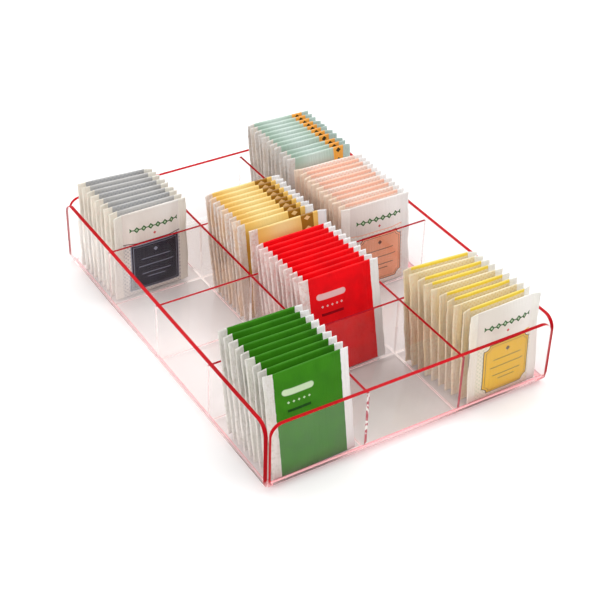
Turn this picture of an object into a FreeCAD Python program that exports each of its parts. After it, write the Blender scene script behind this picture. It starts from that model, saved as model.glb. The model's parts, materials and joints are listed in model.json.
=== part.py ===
import FreeCAD, Part
import math
import os

# Tea bag drawer tray: a clear acrylic sheet folded up into an open tray, parted into three by four
# cells by five slotted dividers, with seven rows of paper tea sachets standing in it.
# Millimetres, +Z up. The origin is the middle of the underside; -Y is the front.

Vector = FreeCAD.Vector
X_AXIS = Vector(1, 0, 0)
Y_AXIS = Vector(0, 1, 0)
Z_AXIS = Vector(0, 0, 1)
ORIGIN = Vector(0, 0, 0)

# Folded tray
sheet = 3.0                  # thickness of the folded sheet
wall_height = 55.0           # underside to the top of the walls
inner_bend_radius = 4.0      # inside of each fold
wall_corner_radius = 9.5     # rounding of each wall's two top corners
side_wall_gap = 0.15         # between a side wall's end and the inner face of the front or back wall
end_wall_gap = 0.9           # between a front or back wall's end and the inner face of the side wall
corner_slit = 0.8            # width of the mitred slit that lets the sheet fold at a corner
relief_radius = 1.2          # hole that ends each slit

# Cells and dividers
column_names = ("left", "middle", "right")
row_names = ("front", "second", "third", "back")
cell_length = 76.5           # clear, front to back
cell_side_room = 10.2        # how much wider a cell is than the wide sachet
divider_sheet = 2.0          # thickness of the divider sheet
divider_drop = 3.2           # how far the dividers' tops lie below the wall tops
divider_offset = -0.9        # the long dividers' slots lie a little to the left of even spacing
divider_corner_relief = 0.5  # how much larger than the fold a divider's lower corner is rounded
slot_clearance = 0.2         # how much wider a slot is than the divider in it

# Sachets
wide_sachet_width = 66.5     # plain printed kind
wide_sachet_height = 78.5
small_sachet_width = 62.0    # kind with a label
small_sachet_height = 74.0
tall_sachet_width = 59.0     # narrow kind with an end stripe
tall_sachet_height = 77.0
seal_thickness = 0.8         # the flat sealed rim
shoulder_inset = 6.0         # rim to shoulder, where the seal ends and the paper swells
shoulder_share = 0.6         # the shoulder's share of the full thickness
crown_inset = 17.0           # rim to the flat of the swelling
crown_drop = 3.0             # the swelling sits this much low, where the tea settles
sachet_gap = 0.45            # least space between two sachets in a row
rest_gap = 0.3               # between a sachet and the base, wall or divider that it stands at

# Values that follow
columns = len(column_names)
rows = len(row_names)
outer_bend_radius = inner_bend_radius + sheet
cell_width = wide_sachet_width + cell_side_room
tray_width = columns * cell_width + (columns - 1) * divider_sheet + 2 * sheet
tray_length = rows * cell_length + (rows - 1) * divider_sheet + 2 * sheet
inner_width = tray_width - 2 * sheet
inner_length = tray_length - 2 * sheet
divider_height = wall_height - divider_drop - sheet
divider_top = sheet + divider_height
side_wall_end = tray_length / 2 - sheet - side_wall_gap
end_wall_end = tray_width / 2 - sheet - end_wall_gap
long_divider_places = [
    divider_offset + (index - (columns - 2) / 2) * (cell_width + divider_sheet)
    for index in range(columns - 1)
]
cross_divider_places = [
    (index - (rows - 2) / 2) * (cell_length + divider_sheet) for index in range(rows - 1)
]

# The foot of a sachet stays this far from a wall, to clear the inside of the fold there
fold_room = inner_bend_radius - math.sqrt(inner_bend_radius**2 - (inner_bend_radius - rest_gap) ** 2)

# Each row of sachets: its cell, its sachets' size, the room left at its two ends, and a wider gap
# with the number of sachets in front of it. Then how the front, the second and the last sachet
# stand; those between them follow evenly. side is -1 against the cell's left side and +1 against
# its right. lean and turn are in degrees, and a positive lean tips the top to the back.
sachet_rows = {
    "green": {
        "cell": ("left", "front"),
        "width": wide_sachet_width, "height": wide_sachet_height, "thickness": 5.9,
        "front_room": 0.0, "back_room": 4.2, "wide_gap": 0.0, "before_gap": 1,
        "side": (-0.05, -0.1, -0.4), "lean": (9.8, 10.3, 13.5), "turn": (1.6, 1.0, -1.2),
    },
    "slate": {
        "cell": ("left", "back"),
        "width": small_sachet_width, "height": small_sachet_height, "thickness": 5.9,
        "front_room": 1.2, "back_room": 12.6, "wide_gap": 0.0, "before_gap": 1,
        "side": (-0.45, -0.5, -1.0), "lean": (0.4, 0.6, 2.5), "turn": (0.4, -0.2, -5.0),
    },
    "red": {
        "cell": ("middle", "second"),
        "width": wide_sachet_width, "height": wide_sachet_height, "thickness": 5.5,
        "front_room": 0.5, "back_room": 4.5, "wide_gap": 0.0, "before_gap": 1,
        "side": (-0.25, -0.4, -1.0), "lean": (13.0, 13.1, 14.0), "turn": (0.4, 0.4, 0.6),
    },
    "amber": {
        "cell": ("middle", "third"),
        "width": wide_sachet_width, "height": wide_sachet_height, "thickness": 5.2,
        "front_room": 0.0, "back_room": 5.0, "wide_gap": 3.4, "before_gap": 1,
        "side": (0.0, -1.0, -1.0), "lean": (9.0, 10.0, 12.0), "turn": (0.4, 0.1, -0.4),
    },
    "yellow": {
        "cell": ("right", "front"),
        "width": small_sachet_width, "height": small_sachet_height, "thickness": 5.6,
        "front_room": 0.0, "back_room": 0.0, "wide_gap": 0.0, "before_gap": 1,
        "side": (0.3, 0.1, -1.0), "lean": (3.5, 4.5, 12.0), "turn": (1.1, 0.6, -4.8),
    },
    "peach": {
        "cell": ("right", "third"),
        "width": small_sachet_width, "height": small_sachet_height, "thickness": 5.2,
        "front_room": 0.0, "back_room": 0.0, "wide_gap": 0.0, "before_gap": 1,
        "side": (-0.3, -0.3, -0.3), "lean": (5.0, 5.5, 8.5), "turn": (-0.6, -0.8, -2.0),
    },
    "mint": {
        "cell": ("right", "back"),
        "width": tall_sachet_width, "height": tall_sachet_height, "thickness": 4.9,
        "front_room": 2.0, "back_room": 0.8, "wide_gap": 3.0, "before_gap": 3,
        "side": (-0.35, -0.35, -0.35), "lean": (6.0, 6.5, 12.0), "turn": (-0.8, -0.9, -2.6),
    },
}


def between(first, last, share):
    """The value that lies this share of the way from the first to the last."""
    return first + (last - first) * share


def trough(width, height, radius, run):
    """A bar along Y, flat on top, with its two long lower edges rounded."""
    half = width / 2
    bow = radius * (1 - math.sqrt(0.5))
    left_arc = Part.Arc(Vector(-half, 0, radius), Vector(-half + bow, 0, bow), Vector(radius - half, 0, 0))
    right_arc = Part.Arc(Vector(half - radius, 0, 0), Vector(half - bow, 0, bow), Vector(half, 0, radius))
    edges = [
        left_arc.toShape(),
        Part.makeLine(Vector(radius - half, 0, 0), Vector(half - radius, 0, 0)),
        right_arc.toShape(),
        Part.makeLine(Vector(half, 0, radius), Vector(half, 0, height)),
        Part.makeLine(Vector(half, 0, height), Vector(-half, 0, height)),
        Part.makeLine(Vector(-half, 0, height), Vector(-half, 0, radius)),
    ]
    bar = Part.Face(Part.Wire(edges)).extrude(Vector(0, run, 0))
    bar.translate(Vector(0, -run / 2, 0))
    return bar


def tub(width, length, height, radius):
    """A block whose four lower edges are rounded and meet in mitres."""
    across = trough(length, height, radius, width)
    across.rotate(ORIGIN, Z_AXIS, 90)
    return trough(width, height, radius, length).common(across)


def corner_rounder(radius, thickness):
    """What is cut away to round an upper corner: the arc's centre is the origin, the plate is in YZ."""
    block = Part.makeBox(thickness, radius + 1, radius + 1, Vector(-thickness / 2, 0, 0))
    bar = Part.makeCylinder(radius, thickness, Vector(-thickness / 2, 0, 0), X_AXIS)
    return block.cut(bar)


def wall_corner_cutters():
    """The eight cutters that round the top corners of the four walls."""
    cutters = []
    side_walls = (0, tray_width / 2 - sheet / 2, side_wall_end)
    end_walls = (90, tray_length / 2 - sheet / 2, end_wall_end)
    for turn, out, end in (side_walls, end_walls):
        for side in (-1, 1):
            for way in (-1, 1):
                cutter = corner_rounder(wall_corner_radius, sheet + 1)
                if way < 0:
                    cutter = cutter.mirror(ORIGIN, Y_AXIS)
                centre = way * (end - wall_corner_radius)
                cutter.translate(Vector(side * out, centre, wall_height - wall_corner_radius))
                cutter.rotate(ORIGIN, Z_AXIS, turn)
                cutters.append(cutter)
    return cutters


def corner_openings():
    """At each corner: the open notch between two walls, the mitred slit and its relief hole."""
    cutters = []
    notch_x = sheet + end_wall_gap
    notch_y = sheet + side_wall_gap
    for side in (-1, 1):
        for way in (-1, 1):
            corner = Vector(side * tray_width / 2, way * tray_length / 2, 0)
            notch_middle = corner - Vector(side * notch_x / 2, way * notch_y / 2, 0)
            notch = Part.makeBox(notch_x, notch_y, wall_height, Vector(-notch_x / 2, -notch_y / 2, 0))
            notch.translate(notch_middle)
            slit_length = outer_bend_radius * math.sqrt(2)
            slit = Part.makeBox(slit_length, corner_slit, outer_bend_radius, Vector(0, -corner_slit / 2, 0))
            slit.rotate(ORIGIN, Z_AXIS, math.degrees(math.atan2(-way, -side)))
            slit.translate(corner)
            inward = Vector(-side * outer_bend_radius, -way * outer_bend_radius, 0)
            hole = Part.makeCylinder(relief_radius, outer_bend_radius, corner + inward)
            cutters += [notch, slit, hole]
    return cutters


def folded_tray():
    """The base and its four walls, folded from one sheet and left open at the corners."""
    outside = tub(tray_width, tray_length, wall_height, outer_bend_radius)
    inside = tub(inner_width, inner_length, wall_height, inner_bend_radius)
    inside.translate(Vector(0, 0, sheet))
    return outside.cut(inside).cut(corner_openings() + wall_corner_cutters())


def divider(length, slot_places, slots_open_up):
    """A plate along X that stands on Z = 0, with rounded lower corners and half-height slots."""
    plate = Part.makeBox(
        length, divider_sheet, divider_height, Vector(-length / 2, -divider_sheet / 2, 0)
    )
    radius = inner_bend_radius + divider_corner_relief
    cutters = []
    for way in (-1, 1):
        cutter = corner_rounder(radius, divider_sheet + 1).mirror(ORIGIN, Z_AXIS)
        cutter.rotate(ORIGIN, Z_AXIS, -90 * way)
        cutter.translate(Vector(way * (length / 2 - radius), 0, radius))
        cutters.append(cutter)
    slot_width = divider_sheet + slot_clearance
    slot_depth = (divider_height + slot_clearance) / 2
    slot_start = divider_height - slot_depth if slots_open_up else 0
    for place in slot_places:
        corner = Vector(place - slot_width / 2, -divider_sheet, slot_start)
        cutters.append(Part.makeBox(slot_width, 2 * divider_sheet, slot_depth, corner))
    return plate.cut(cutters)


def long_divider(place):
    """A divider from the front wall to the back wall, slotted from above."""
    plate = divider(inner_length, cross_divider_places, True)
    plate.rotate(ORIGIN, Z_AXIS, 90)
    plate.translate(Vector(place, 0, sheet))
    return plate


def cross_divider(place):
    """A divider from side to side, slotted from below, so that its top edge runs through."""
    plate = divider(inner_width, long_divider_places, False)
    plate.translate(Vector(0, place, sheet))
    return plate


def cell_faces(places, half_inside, index):
    """The two faces that bound a cell: places are the dividers, half_inside the wall's inner face."""
    low = -half_inside if index == 0 else places[index - 1] + divider_sheet / 2
    high = half_inside if index == len(places) else places[index] - divider_sheet / 2
    return low, high


def foot_gaps(places, index):
    """How far a sachet's foot stays from each face of a cell, which is further at a folded wall."""
    low = fold_room if index == 0 else rest_gap
    high = fold_room if index == len(places) else rest_gap
    return low, high


def sachet(width, height, thickness):
    """A filled paper sachet that stands on the origin, its faces looking along -Y and +Y."""
    crown = thickness / 2
    shoulder = crown * shoulder_share
    steps = [
        (-crown, crown_inset, crown_drop),
        (-shoulder, shoulder_inset, 0),
        (-seal_thickness / 2, 0, 0),
        (seal_thickness / 2, 0, 0),
        (shoulder, shoulder_inset, 0),
        (crown, crown_inset, crown_drop),
    ]
    outlines = []
    for depth, inset, drop in steps:
        half = width / 2 - inset
        low = inset - drop
        high = height - inset - drop
        corners = [(-half, low), (half, low), (half, high), (-half, high)]
        outlines.append([Vector(x, depth, z) for x, z in corners])
    loops = [outlines[0], outlines[-1]]
    for near, far in zip(outlines, outlines[1:]):
        for index in range(len(near)):
            following = (index + 1) % len(near)
            loops.append([near[index], near[following], far[following], far[index]])
    faces = [Part.Face(Part.makePolygon(loop + loop[:1])) for loop in loops]
    return Part.makeSolid(Part.makeShell(faces))


def posed_sachet(row, lean, turn):
    """One of the row's sachets, leaning and turned, its foot's middle at X = Y = 0."""
    piece = sachet(row["width"], row["height"], row["thickness"])
    piece.rotate(ORIGIN, X_AXIS, -lean)
    piece.rotate(ORIGIN, Z_AXIS, turn)
    piece.translate(Vector(0, 0, sheet + rest_gap - piece.BoundBox.ZMin))
    return piece


def below(shape, height):
    """The part of a shape that lies under this height."""
    reach = tray_length
    return shape.common(Part.makeBox(reach, reach, height, Vector(-reach / 2, -reach / 2, 0)))


def places_along_row(row, pieces):
    """The front and the last sachet's places in Y."""
    index = row_names.index(row["cell"][1])
    front, back = cell_faces(cross_divider_places, inner_length / 2, index)
    front_gap, back_gap = foot_gaps(cross_divider_places, index)
    back_top = wall_height if index == rows - 1 else divider_top
    foot = below(pieces[0], sheet + inner_bend_radius).BoundBox
    first = front + max(rest_gap - pieces[0].BoundBox.YMin, front_gap - foot.YMin)
    foot = below(pieces[-1], sheet + inner_bend_radius).BoundBox
    held = below(pieces[-1], back_top).BoundBox
    last = back - max(rest_gap + held.YMax, back_gap + foot.YMax)
    return first + row["front_room"], last - row["back_room"]


def place_across_row(row, piece, side):
    """A sachet's place in X, from -1 at the left of its cell to +1 at the right."""
    index = column_names.index(row["cell"][0])
    left, right = cell_faces(long_divider_places, inner_width / 2, index)
    left_gap, right_gap = foot_gaps(long_divider_places, index)
    lowest = left + left_gap - piece.BoundBox.XMin
    highest = right - right_gap - piece.BoundBox.XMax
    return between(lowest, highest, (1 + side) / 2)


def standing_row(row):
    """The sachets of one row, from the front one to the back one, standing in their cell."""
    ends = [posed_sachet(row, row["lean"][end], row["turn"][end]) for end in (0, -1)]
    first, last = places_along_row(row, ends)
    length = last - first - row["wide_gap"]
    least_step = (row["thickness"] + sachet_gap) / math.cos(math.radians(row["lean"][-1]))
    steps = max(2, int(length / least_step))
    sachets = []
    for index in range(steps + 1):
        share = max(0, index - 1) / (steps - 1)
        start = min(index, 1)
        lean = between(row["lean"][start], row["lean"][-1], share)
        turn = between(row["turn"][start], row["turn"][-1], share)
        side = between(row["side"][start], row["side"][-1], share)
        piece = posed_sachet(row, lean, turn)
        place_x = place_across_row(row, piece, side)
        place_y = first + length * index / steps
        if index >= row["before_gap"]:
            place_y += row["wide_gap"]
        piece.translate(Vector(place_x, place_y, 0))
        sachets.append(piece)
    return sachets


def save(shape, node):
    """Writes one node, which is one solid or a group of separate solids."""
    shape.exportStep("parts/" + node + ".step")


os.makedirs("parts", exist_ok=True)

save(folded_tray(), "folded_tray")

for name, place in zip(("left", "right"), long_divider_places):
    save(long_divider(place), name + "_long_divider")

for name, place in zip(("front", "middle", "back"), cross_divider_places):
    save(cross_divider(place), name + "_cross_divider")

for name, row in sachet_rows.items():
    standing = standing_row(row)
    print(name, "row:", len(standing), "sachets")
    save(standing[0], name + "_front_sachet")
    save(Part.makeCompound(standing[1:]), name + "_sachet_row")
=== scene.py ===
import json
import math
import random
from itertools import product

import bpy
from mathutils import Matrix, Vector, noise


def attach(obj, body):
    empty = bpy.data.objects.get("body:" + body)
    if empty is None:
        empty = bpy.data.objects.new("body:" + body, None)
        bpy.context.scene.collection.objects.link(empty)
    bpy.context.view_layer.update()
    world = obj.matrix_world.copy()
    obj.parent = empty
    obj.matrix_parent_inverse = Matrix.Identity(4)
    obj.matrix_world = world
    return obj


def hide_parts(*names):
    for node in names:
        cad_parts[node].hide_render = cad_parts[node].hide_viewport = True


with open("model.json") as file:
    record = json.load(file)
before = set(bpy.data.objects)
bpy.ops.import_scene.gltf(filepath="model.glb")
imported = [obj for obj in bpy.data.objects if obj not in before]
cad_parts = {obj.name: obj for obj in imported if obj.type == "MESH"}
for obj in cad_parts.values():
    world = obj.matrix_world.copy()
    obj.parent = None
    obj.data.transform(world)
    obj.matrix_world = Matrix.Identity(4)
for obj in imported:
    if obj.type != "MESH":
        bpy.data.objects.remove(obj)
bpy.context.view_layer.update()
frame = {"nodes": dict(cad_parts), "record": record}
nodes = frame["nodes"]
bodyOf = {node: body for body, group in frame["record"]["behaviour"]["bodies"].items() for node in group}
scene = bpy.context.scene
perMetre = 1000  # pieces are planned in millimetres, while the frame and the acrylic's patterns are in metres


def addObject(name, data):
    made = bpy.data.objects.new(name, data)
    scene.collection.objects.link(made)
    return made


# the camera, in metres, degrees, and millimetres for its lens and sensor
cameraPlan = {
    "place": (-0.482409, -0.766520, 0.666770), "yaw": -32.34854, "pitch": 35.71666, "roll": 1.76534,
    "lens": 87.3355, "sensor": 36, "farthest": 20,
}


def makeCamera(plan):
    yaw, pitch, roll = (math.radians(plan[key]) for key in ("yaw", "pitch", "roll"))
    forward = Vector((-math.sin(yaw) * math.cos(pitch), math.cos(yaw) * math.cos(pitch), -math.sin(pitch)))
    level = forward.cross(Vector((0, 0, 1))).normalized()
    above = level.cross(forward)
    across = level * math.cos(roll) + above * math.sin(roll)
    upward = above * math.cos(roll) - level * math.sin(roll)
    camera = addObject("camera", bpy.data.cameras.new("camera"))
    camera.data.lens = plan["lens"]
    camera.data.sensor_width = plan["sensor"]
    camera.data.clip_end = plan["farthest"]
    turned = Matrix((across, upward, -forward)).transposed().to_4x4()
    camera.matrix_world = Matrix.Translation(plan["place"]) @ turned
    scene.camera = camera


makeCamera(cameraPlan)


# a material or a world under construction: each call adds nodes and gives back their output
class Recipe:
    def __init__(self, owner):
        self.owner = owner
        owner.use_nodes = True
        self.tree = owner.node_tree
        self.tree.nodes.clear()

    def add(self, kind, inputs=(), **settings):
        node = self.tree.nodes.new(kind)
        for key, value in settings.items():
            setattr(node, key, value)
        for key, value in dict(inputs).items():
            self.put(node.inputs[key], value)
        return node

    def put(self, socket, value):
        if isinstance(value, bpy.types.NodeSocket):
            self.tree.links.new(value, socket)
        elif isinstance(value, tuple) and len(value) == 3 and socket.type == "RGBA":
            socket.default_value = (*value, 1)
        else:
            socket.default_value = value

    def math(self, operation, *values):
        return self.add("ShaderNodeMath", enumerate(values), operation=operation).outputs[0]

    def plus(self, *values):
        return self.math("ADD", *values)

    def minus(self, *values):
        return self.math("SUBTRACT", *values)

    def times(self, *values):
        return self.math("MULTIPLY", *values)

    def most(self, *values):
        return self.math("MAXIMUM", *values)

    def mirrored(self, value):
        return self.math("ABSOLUTE", value)

    def flipped(self, value):
        return self.minus(1.0, value)

    # a noise's middle value becomes 0
    def centred(self, value):
        return self.minus(value, 0.5)

    # a wave that climbs from 0 to reach and falls back
    def zigzag(self, value, reach):
        return self.math("PINGPONG", value, reach)

    def away(self, value, centre):
        return self.mirrored(self.minus(value, centre))

    def length(self, across, along):
        return self.math("SQRT", self.plus(self.times(across, across), self.times(along, along)))

    # start, and a share of the pattern on top
    def varied(self, pattern, start, share):
        return self.plus(start, self.times(pattern, share))

    # 0 below low, 1 above high
    def step(self, value, low, high):
        inputs = {"Value": value, "From Min": low, "From Max": high}
        return self.add("ShaderNodeMapRange", inputs, interpolation_type="SMOOTHSTEP").outputs[0]

    # 1 below low, 0 above high
    def under(self, value, low, high):
        return self.flipped(self.step(value, low, high))

    # 1 from low to high, with soft ends
    def band(self, value, low, high, soft):
        above = self.step(value, low - soft, low + soft)
        return self.times(above, self.under(value, high - soft, high + soft))

    # 1 where a distance is under zero
    def inside(self, distance, soft=0.12):
        return self.under(distance, -soft, soft)

    def mix(self, share, first, second, mode="MIX"):
        inputs = {0: share, 6: first, 7: second}
        return self.add("ShaderNodeMix", inputs, data_type="RGBA", blend_type=mode).outputs[2]

    # the second colour where the mask is, by a share
    def blend(self, mask, share, first, second, mode="MIX"):
        return self.mix(self.times(mask, share), first, second, mode)

    # the same where a pattern has come through its step
    def layer(self, pattern, plan, first, second=None, mode="MIX"):
        return self.blend(self.step(pattern, *plan["step"]), plan["share"], first, second or plan["colour"], mode)

    def mixShaders(self, share, first, second):
        return self.add("ShaderNodeMixShader", {0: share, 1: first, 2: second}).outputs[0]

    def place(self):
        return self.add("ShaderNodeNewGeometry").outputs["Position"]

    def split(self, vector):
        return self.add("ShaderNodeSeparateXYZ", {0: vector}).outputs

    def rays(self):
        return self.add("ShaderNodeLightPath").outputs

    def vector(self, operation, *values):
        return self.add("ShaderNodeVectorMath", enumerate(values), operation=operation).outputs

    def noise(self, vector, scale, detail=3.0, rough=0.5):
        inputs = {"Vector": vector, "Scale": scale, "Detail": detail, "Roughness": rough}
        return self.add("ShaderNodeTexNoise", inputs).outputs[0]

    # noise with a scale of its own along each axis
    def streaks(self, vector, scales, detail=3.0, rough=0.5):
        return self.noise(self.vector("MULTIPLY", vector, scales)[0], 1.0, detail, rough)

    def attribute(self, name):
        return self.add("ShaderNodeAttribute", attribute_name=name).outputs["Fac"]

    def bump(self, height, strength, distance, beneath=None):
        made = self.add("ShaderNodeBump", {"Height": height, "Strength": strength, "Distance": distance})
        if beneath is not None:
            self.put(made.inputs["Normal"], beneath)
        return made.outputs[0]

    def surface(self, look, colour, rough, normal, glow=(1, 1, 1), glowing=0.0, weight=0.0):
        inputs = {
            "Base Color": colour,
            "Roughness": rough,
            "IOR": look["refraction"],
            "Specular IOR Level": look["shine"],
            "Transmission Weight": weight,
            "Emission Color": glow,
            "Emission Strength": glowing,
            "Normal": normal,
        }
        return self.add("ShaderNodeBsdfPrincipled", inputs).outputs[0]

    def clear(self, colour):
        return self.add("ShaderNodeBsdfTransparent", {"Color": colour}).outputs[0]

    def finish(self, shader, output="ShaderNodeOutputMaterial"):
        self.add(output, {"Surface": shader})
        return self.owner


# a pattern is given by its scale per metre and its detail, and its step has the values between which it comes in
acrylicLook = {
    "clear": (0.993, 0.982, 0.980), "worn": (0.980, 0.966, 0.964), "line": (0.90, 0.36, 0.40),
    "pink": (0.96, 0.60, 0.62), "shade": (0.985, 0.964, 0.958), "refraction": 1.32, "shine": 0.5,
    "polish": 0.008, "haze": (90.0, 4.0), "hazeShare": 0.35, "smears": (14, 14, 60),
    "smearStep": (0.52, 0.75), "smearRough": 0.05, "ripple": (35.0, 2.0), "bump": (0.02, 0.001), "trapped": 7,
    "mirrored": 1,
}

# the grey of the base, a painted shadow where the sachets' shade falls: where it is deepest, how much wider than deep
# it is, and how far it fades
baseShadowLook = {"colour": (0.67, 0.66, 0.625), "x": -0.004, "y": -0.132, "wide": 1.3, "step": (0.012, 0.085)}

# how the painted pink ends in a fold, with a line at its foot and one at its top: pale pink and lines stand in for the
# light the fold carries from the red edges
foldLook = {
    "waves": ((14, 14, 1), 2.0), "waveHeight": 0.0006, "soft": 0.0005, "footFrom": -0.001, "footShare": 0.6,
    "footSoft": 0.0004, "footGlow": 7, "topLine": 0.0008, "topSoft": 0.0003,
}

# a fold's share of pale pink up to the height top, and its glow, emission that stands in for the light it gathers, are
# painted light from the red edges
sheetKinds = {
    "clearSheet": {"tint": acrylicLook["clear"], "shade": acrylicLook["shade"]},
    "baseSheet": {"tint": baseShadowLook["colour"], "shade": acrylicLook["shade"]},
    "frontFold": {"tint": acrylicLook["pink"], "shade": (0.78, 0.56, 0.57), "paintedPink": 0.5, "top": 0.0042, "glow": 0.07},
    "sideFold": {"tint": (0.985, 0.90, 0.90), "shade": (0.92, 0.81, 0.81), "paintedPink": 0.6, "top": 0.0023, "glow": 0.02},
}


# a painted shadow on the base, greyest in the middle of the front where the sachets' shade falls, clear further off
def paintBaseShadow(recipe, place, colour):
    look = baseShadowLook
    x, y, _ = recipe.split(place)
    aside = recipe.times(recipe.minus(x, look["x"]), look["wide"])
    behind = recipe.most(recipe.minus(y, look["y"]), 0.0)
    return recipe.mix(recipe.step(recipe.length(aside, behind), *look["step"]), colour, acrylicLook["clear"])


# painted light in a fold: pale pink and pink lines, and a glow that is brighter at the foot
def paintFoldLight(recipe, place, colour, kind):
    look, top, glow = foldLook, kind["top"], kind["glow"]
    waves = recipe.streaks(place, *look["waves"])
    height = recipe.varied(waves, recipe.split(place)["Z"], look["waveHeight"])
    folded = recipe.under(height, top - look["soft"], top + look["soft"])
    weight = recipe.flipped(recipe.times(folded, kind["paintedPink"]))
    foot = recipe.band(height, look["footFrom"], top * look["footShare"], look["footSoft"])
    glowing = recipe.varied(foot, glow, glow * look["footGlow"])
    lines = recipe.most(foot, recipe.band(height, top - look["topLine"], top, look["topSoft"]))
    return recipe.mix(lines, colour, acrylicLook["line"]), weight, glowing


def makeAcrylic(name, look, kind):
    recipe = Recipe(bpy.data.materials.new(name))
    place = recipe.place()
    haze = recipe.noise(place, *look["haze"])
    smear = recipe.step(recipe.streaks(place, look["smears"]), *look["smearStep"])
    rough = recipe.plus(look["polish"], recipe.times(smear, recipe.times(haze, look["smearRough"])))
    worn = tuple(a * b for a, b in zip(kind["tint"], look["worn"]))
    colour = recipe.blend(haze, look["hazeShare"], kind["tint"], worn)
    weight, glowing = 1.0, 0.0
    # the base gets its painted shadow
    if name == "baseSheet":
        colour = paintBaseShadow(recipe, place, colour)
    # a fold gets its painted light
    if "paintedPink" in kind:
        colour, weight, glowing = paintFoldLight(recipe, place, colour, kind)
    normal = recipe.bump(recipe.noise(place, *look["ripple"]), *look["bump"])
    glass = recipe.surface(look, colour, rough, normal, look["pink"], glowing, weight)
    rays = recipe.rays()
    # light that bounces about inside the sheet for long is let out
    lost = recipe.most(
        recipe.math("GREATER_THAN", rays["Transmission Depth"], look["trapped"]),
        recipe.math("GREATER_THAN", rays["Glossy Depth"], look["mirrored"]),
    )
    passing = recipe.most(recipe.most(rays["Is Shadow Ray"], rays["Is Diffuse Ray"]), lost)
    return recipe.finish(recipe.mixShaders(passing, glass, recipe.clear(kind["shade"])))


edgeLook = {
    "bright": (0.49, 0.002, 0.008), "deep": (0.24, 0.002, 0.010),
    "lit": {"step": (0.45, 0.8), "share": 0.3, "colour": (0.70, 0.010, 0.014)}, "pale": (0.85, 0.50, 0.50),
    "paleShare": 0.9, "streaks": (900, 900, 140), "cloud": (30.0, 2.0), "cloudShare": 0.6,
    "rough": (0.30, 0.2), "refraction": 1.49, "shine": 0.08, "bump": (0.15, 0.0003),
}


# the heights through which an edge turns pale, and how deep its red is above them
edgeKinds = {"wallEdge": ((0.003, 0.008), 0.12), "dividerEdge": ((0.030, 0.048), 0.55)}


# the sawn top and end edges, which gather the tint
def makeEdge(name, look, fade, depth):
    recipe = Recipe(bpy.data.materials.new(name))
    place = recipe.place()
    streak = recipe.streaks(place, look["streaks"])
    cloud = recipe.centred(recipe.noise(place, *look["cloud"]))
    red = recipe.mix(recipe.varied(cloud, depth, look["cloudShare"]), look["bright"], look["deep"])
    red = recipe.layer(streak, look["lit"], red)
    low = recipe.under(recipe.split(place)["Z"], *fade)
    colour = recipe.blend(low, look["paleShare"], red, look["pale"])
    rough = recipe.varied(streak, *look["rough"])
    return recipe.finish(recipe.surface(look, colour, rough, recipe.bump(streak, *look["bump"])))


# columns and rows are where the dividers cross, and middle is the columns' middle
seamLook = {
    "pink": (0.96, 0.66, 0.66), "dark": (0.52, 0.05, 0.08), "white": (1.0, 0.97, 0.95),
    "clear": (0.98, 0.95, 0.95), "glow": (1.0, 0.86, 0.85), "glowing": 0.16, "middle": -0.0009,
    "columns": 0.03935, "rows": 0.0785, "nearStep": (0.012, 0.0168), "withinStep": (0.12, 0.13),
    "footStep": (0.006, 0.03), "footShare": (0.75, 0.25), "frontStep": (-0.1545, -0.1535),
    "leftStep": (-0.01, 0.01), "bubbles": ((300, 300, 260), 2.0), "bubbleStep": (0.50, 0.58),
    "cloudScale": 160.0, "cover": 0.38, "coverShare": (0.5, 0.6), "nearCover": 0.72, "frontCover": 0.85,
    "rough": (0.3, 0.3), "refraction": 1.49, "shine": 0.15, "bump": (0.3, 0.0004),
}


# the bonded faces: pink, whiter near the crossings, with trapped bubbles at the front wall, and a painted glow away
# from the front wall
def makeSeam(look):
    recipe = Recipe(bpy.data.materials.new("bondedSeam"))
    place = recipe.place()
    x, y, z = recipe.split(place)
    near = recipe.times(
        recipe.under(recipe.away(recipe.away(x, look["middle"]), look["columns"]), *look["nearStep"]),
        recipe.under(recipe.zigzag(y, look["rows"] / 2), *look["nearStep"]),
    )
    within = recipe.under(recipe.mirrored(y), *look["withinStep"])
    low = recipe.under(z, *look["footStep"])
    near = recipe.times(recipe.times(near, within), recipe.varied(low, *look["footShare"]))
    bubble = recipe.streaks(place, *look["bubbles"])
    front = recipe.under(y, *look["frontStep"])
    left = recipe.under(x, *look["leftStep"])
    wall = recipe.blend(left, recipe.step(bubble, *look["bubbleStep"]), look["dark"], look["white"])
    colour = recipe.mix(front, recipe.mix(near, look["pink"], look["white"]), wall)
    cloud = recipe.noise(place, look["cloudScale"])
    cover = recipe.most(recipe.times(near, look["nearCover"]), recipe.times(front, look["frontCover"]))
    cover = recipe.most(cover, recipe.times(look["cover"], recipe.varied(cloud, *look["coverShare"])))
    rough = recipe.varied(cloud, *look["rough"])
    # a painted glow: the seams give off light away from the front wall
    glowing = recipe.times(recipe.flipped(front), look["glowing"])
    shader = recipe.surface(look, colour, rough, recipe.bump(bubble, *look["bump"]), look["glow"], glowing)
    return recipe.finish(recipe.mixShaders(cover, recipe.clear(look["clear"]), shader))


clearSheet, baseSheet, frontFold, sideFold = (
    makeAcrylic(name, acrylicLook, kind) for name, kind in sheetKinds.items()
)
wallEdge, dividerEdge = (makeEdge(name, edgeLook, *kind) for name, kind in edgeKinds.items())
bondedSeam = makeSeam(seamLook)


# the CAD's faces stay as they are and only get their materials
def dressSheet(node, materials, choose):
    mesh = nodes[node].data
    mesh.materials.clear()
    for material in materials:
        mesh.materials.append(material)
    for face in mesh.polygons:
        face.material_index = materials.index(choose(face.center * perMetre, face.normal))


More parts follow.
